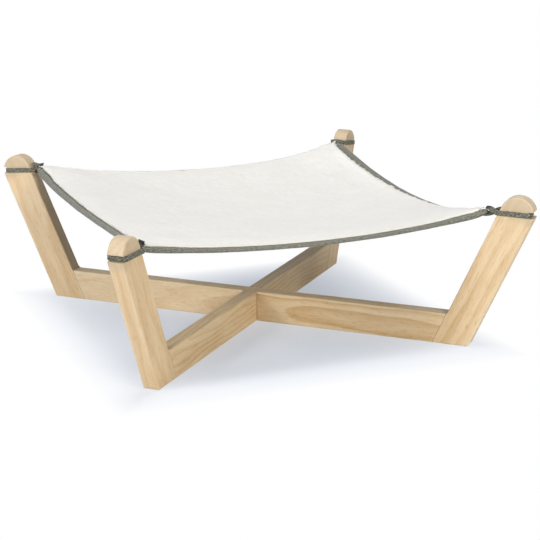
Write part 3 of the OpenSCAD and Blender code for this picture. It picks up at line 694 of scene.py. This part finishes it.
section_run = np.concatenate([[0], np.cumsum(np.hypot(np.diff(tape_in_mm), np.diff(tape_up_mm)))])
beside_seam = np.exp(-((tape_in_mm - seam_in_mm) / pucker_width_mm) ** 2)
for side, edge_name in enumerate(edge_names):
    w = tape_in_mm / 1000 * gathered(tape_steps)[:, None]
    mitre = rim(w) - mitre_gap / sling_half
    s = np.clip(tape_steps[:, None] * tape_overrun, -mitre, mitre)
    along_mm = s * sling_half * 1000
    pucker = pucker_mm * np.sin(along_mm * 2 * math.pi / stitch_pitch_mm) * beside_seam
    row_mm = np.full_like(along_mm, edge_row_mm * side)
    wave = wave_mm * lattice_noise(along_mm, row_mm, wave_cell_mm, 51)
    h = (tape_up_mm * bunched(s) + np.sign(tape_up_mm) * pucker + wave) / 1000
    w = w + tape_sway * lattice_noise(along_mm, row_mm + sway_row_mm, sway_cell_mm, 52)
    binding = swept("binding_%s_tape" % edge_name, on_edge(side, s, w, h), binding_tape)
    surface_map(binding, "tape_mm", along_mm, np.broadcast_to(section_run, along_mm.shape))
    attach(binding, "sling")
    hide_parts("binding_" + edge_name)

# The binding is sewn through with one row of lockstitch, seen on both faces. The thread is grey
# polyester; each stitch is a short plump capsule that dives into the tape at both ends.
thread_grey, tree = new_material("grey_polyester_thread")
place = add(tree, "ShaderNodeTexCoord", {}, out="Object")
plies = add(tree, "ShaderNodeTexNoise", {"Vector": place, "Scale": 900.0, "Detail": 1.0})
tone = add(tree, "ShaderNodeValToRGB", {0: plies}, {"stops": ((0.2, "#45463F"), (0.8, "#6C6D65"))})
surface = add(tree, "ShaderNodeBsdfPrincipled", {"Base Color": tone, "Roughness": 0.7})
add(tree, "ShaderNodeOutputMaterial", {"Surface": surface})
seam_half_mm, stitch_bow_mm, stitch_taper = 204, 0.25, 0.985
stitch_heights_mm = ((1, 1.85), (-1, -1.9))     # upper and lower face
stitch_stations = np.linspace(-1, 1, 6)
stitch_girths = np.sqrt(1 - (stitch_stations * stitch_taper) ** 2)
around = np.arange(6) * math.pi / 3
places = np.arange(-seam_half_mm, seam_half_mm + 0.1, stitch_pitch_mm)
for side, edge_name in enumerate(edge_names):
    rows = []
    for face_up, face_h in stitch_heights_mm:
        s = (places[:, None, None] + stitch_stations[:, None] * stitch_mm / 2) / 1000 / sling_half
        girth = thread_r_mm * stitch_girths[:, None]
        w = (seam_in_mm * gathered(s) + girth * np.cos(around)) / 1000
        bow = face_up * stitch_bow_mm * (1 - stitch_stations[:, None] ** 2)
        h = (face_h * bunched(s) + bow + girth * np.sin(around)) / 1000
        s, w, h = np.broadcast_arrays(s, w, h)
        rows.append(on_edge(side, s, w, h).reshape(-1, len(stitch_stations), len(around), 3))
    points = np.concatenate(rows)
    index = np.arange(points[..., 0].size).reshape(points.shape[:3])
    a, b = index[:, :-1], np.roll(index[:, :-1], -1, 2)
    c, d = np.roll(index[:, 1:], -1, 2), index[:, 1:]
    stitch_faces = [np.stack([a, b, c, d], -1).reshape(-1, 4), index[:, 0, ::-1], index[:, -1]]
    stitches = mesh_object("stitches_" + edge_name, points, stitch_faces, thread_grey)
    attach(stitches, "sling")

# A grey flat elastic tape hangs each corner from its post. It lies in the notch round the post's outer
# edge and along both broad faces. One end is sewn on top of the corner and the other below it, so the
# two strands cross as they leave the cloth; the upper end stands proud of the pile.
loop_tape, tree = new_material("grey_flat_elastic")
tape = add(tree, "ShaderNodeUVMap", {}, {"uv_map": "tape_mm"})
cord_mm = 2.0                            # woven ribs along the tape, drawn as coarse as they need to show
# The free end is darker by a share: in full at first, then fading out.
darkened_full_mm, darkened_end_mm, darkened_share, knit_share = 3.0, 9.0, 0.85, 0.09
knit = 1.0
for axis, share in ((0, 0.75), (1, 1.0)):
    cords = add(tree, "ShaderNodeSeparateXYZ", {0: tape}, out=axis)
    cords = add(tree, "ShaderNodeMath", {0: cords, 1: math.pi * share / cord_mm}, {"operation": "MULTIPLY"})
    cords = add(tree, "ShaderNodeMath", {0: cords}, {"operation": "SINE"})
    knit = add(tree, "ShaderNodeMath", {0: cords, 1: knit}, {"operation": "MULTIPLY"})
lint = add(tree, "ShaderNodeTexNoise", {"Vector": tape, "Scale": 0.45, "Detail": 3.0})
shade = add(tree, "ShaderNodeMath", {0: knit, 1: knit_share, 2: lint}, {"operation": "MULTIPLY_ADD"})
tone = add(tree, "ShaderNodeValToRGB", {0: shade}, {"stops": (
    (0.28, "#41413A"), (0.52, "#6F6F66"), (0.76, "#9C9C91"))})
darkened = add(tree, "ShaderNodeSeparateXYZ", {0: tape}, out=0)
darkened = add(tree, "ShaderNodeMapRange",
             {0: darkened, 1: darkened_full_mm, 2: darkened_end_mm, 3: darkened_share, 4: 0.0})
tone = add(tree, "ShaderNodeMix", {0: darkened, 6: tone, 7: linear("#2C281F")}, {"data_type": "RGBA"}, 2)
bump = add(tree, "ShaderNodeBump", {"Strength": 0.7, "Distance": 0.0004, "Height": knit})
surface = add(tree, "ShaderNodeBsdfPrincipled", {
    "Base Color": tone, "Roughness": 0.88, "Normal": bump, "Specular IOR Level": 0.3})
add(tree, "ShaderNodeOutputMaterial", {"Surface": surface})

notch_seat_mm, post_face_mm = 364.9, 326.1
loop_width_mm, loop_thick_mm, loop_gap_mm = 6.3, 1.9, 0.35
section_sides, section_roundness, steps_per_span = 16, 0.42, 8
# Which side of the post the upper strand goes to, how far the tape rises from the notch to the post's
# inner face, how much of the free end is darkened, and the way of that end over the corner. Each row: out
# from the corner's tip, aside, up from the tip, the roll in degrees, the width.
upper_strands = {
    "front_left": (1, 0.0, 9.0, [[-3.4, 3.0, 9.8, 84, 12.4], [-2.4, 2.4, 5.8, 80, 11.0],
                                 [1.0, 1.6, 3.2, 66, 7.4]]),
    "front_right": (-1, 0.8, 9.0, [[-3.0, 0.0, 4.8, 76, 6.0], [2.0, 1.0, 4.4, 66, 6.4]]),
    "rear_right": (-1, 6.0, 5.0, [[0.5, -8.0, 1.4, 8, 5.8], [1.2, -3.0, 2.0, 8, 6.0],
                                  [1.8, 2.4, 2.0, 12, 6.0]]),
    "rear_left": (1, 3.3, 9.0, [[-11.0, 0.0, 7.4, 78, 6.0], [-4.5, 1.0, 6.0, 72, 6.0],
                                [1.2, 4.0, 7.6, 60, 5.2], [-0.3, 5.2, 2.4, 40, 5.6]])}


def smooth_path(points, per_span):
    """Curve through all the points: a Catmull-Rom spline, per_span steps from each point to the next."""
    p = np.concatenate([2 * points[:1] - points[1:2], points, 2 * points[-1:] - points[-2:-1]])
    t = (np.arange(per_span) / per_span)[None, :, None]
    a, b, c, d = (p[i:len(p) - 3 + i, None] for i in range(4))
    square, cube = 2 * a - 5 * b + 4 * c - d, 3 * b - a - 3 * c + d
    spans = 0.5 * (2 * b + (c - a) * t + square * t ** 2 + cube * t ** 3)
    return np.concatenate([spans.reshape(-1, points.shape[1]), points[-1:]])


def flat_tape(path, roll, width, thickness):
    """Flat tape along a path: a rounded oblong section, its width turned by roll from upright."""
    along = np.gradient(path, axis=0)
    along /= np.linalg.norm(along, axis=1, keepdims=True)
    out = np.cross(along, [0.0, 0.0, 1.0])
    out /= np.linalg.norm(out, axis=1, keepdims=True)
    up = np.cross(out, along)
    wide = up * np.cos(roll)[:, None] + out * np.sin(roll)[:, None]
    deep = out * np.cos(roll)[:, None] - up * np.sin(roll)[:, None]
    t = np.arange(section_sides) * math.pi / (section_sides / 2) + math.pi / section_sides
    sx = np.sign(np.cos(t)) * np.abs(np.cos(t)) ** section_roundness * width[:, None] / 2
    sy = np.sign(np.sin(t)) * np.abs(np.sin(t)) ** section_roundness * thickness / 2
    return path[:, None] + sx[..., None] * wide[:, None] + sy[None, :, None] * deep[:, None], sx


side_mm = board_half_mm + loop_gap_mm + loop_thick_mm / 2
end_mm = notch_seat_mm + loop_gap_mm + loop_thick_mm / 2
bend_mm = (loop_gap_mm + loop_thick_mm / 2) * math.sqrt(0.5)
for corner, turn_deg in board_turns.items():
    su, sv = corner_signs[corner]
    tip = sling_at(np.array(float(su)), np.array(float(sv))) * 1000
    tip_mm, tip_z = math.hypot(tip[0], tip[1]), tip[2] - loop_height * 1000
    hand, rise_mm, darkened_mm, free_rows = upper_strands[corner]
    # Each row: out from the middle, aside, up from the notch, the roll in degrees, the width.
    upper = [[tip_mm + row[0], row[1], tip_z + row[2]] + row[3:] for row in free_rows]
    upper += [[post_face_mm, side_mm - 0.2, rise_mm, 8, loop_width_mm]]
    lower = [[post_face_mm, 0.4 - side_mm, rise_mm - 0.4, -8, loop_width_mm],
             [(tip_mm + post_face_mm) / 2, -side_mm * 0.42, (tip_z + rise_mm) * 0.5 - 1.6, -38, 6.6],
             [tip_mm - 1.0, -0.4, tip_z - 3.2, -62, 7.4], [tip_mm - 9.0, 0.0, tip_z - 4.4, -80, 8.2]]
    face = [[post_face_mm + 6, side_mm], [post_face_mm + 18, side_mm], [notch_seat_mm - 6, side_mm],
            [notch_seat_mm - 1, side_mm], [notch_seat_mm + bend_mm, board_half_mm + bend_mm],
            [end_mm, board_half_mm - 1.0], [end_mm, board_half_mm - 5], [end_mm, 0.0]]
    slope = rise_mm / (notch_seat_mm - post_face_mm)
    face = [row + [slope * max(notch_seat_mm - row[0], 0), 0, loop_width_mm] for row in face]
    back = [[row[0], -row[1]] + row[2:] for row in face[-2::-1]]
    rows = np.array(upper + face + back + lower) * [1, hand, 1, hand, 1]
    path = smooth_path(rows, steps_per_span)
    out = math.radians(turn_deg)
    turned = np.stack([path[:, 0] * math.cos(out) - path[:, 1] * math.sin(out),
                       path[:, 0] * math.sin(out) + path[:, 1] * math.cos(out),
                       path[:, 2] + loop_height * 1000], -1)
    rings, across = flat_tape(turned, np.radians(path[:, 3]), path[:, 4], loop_thick_mm)
    strap = swept("loop_%s_tape" % corner, rings / 1000, loop_tape)
    run_mm = np.concatenate([[0], np.cumsum(np.linalg.norm(np.diff(turned, axis=0), axis=1))])
    run_mm = run_mm + darkened_end_mm - darkened_mm
    surface_map(strap, "tape_mm", np.broadcast_to(run_mm[:, None], across.shape), across)
    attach(strap, "sling")
    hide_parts("loop_" + corner)
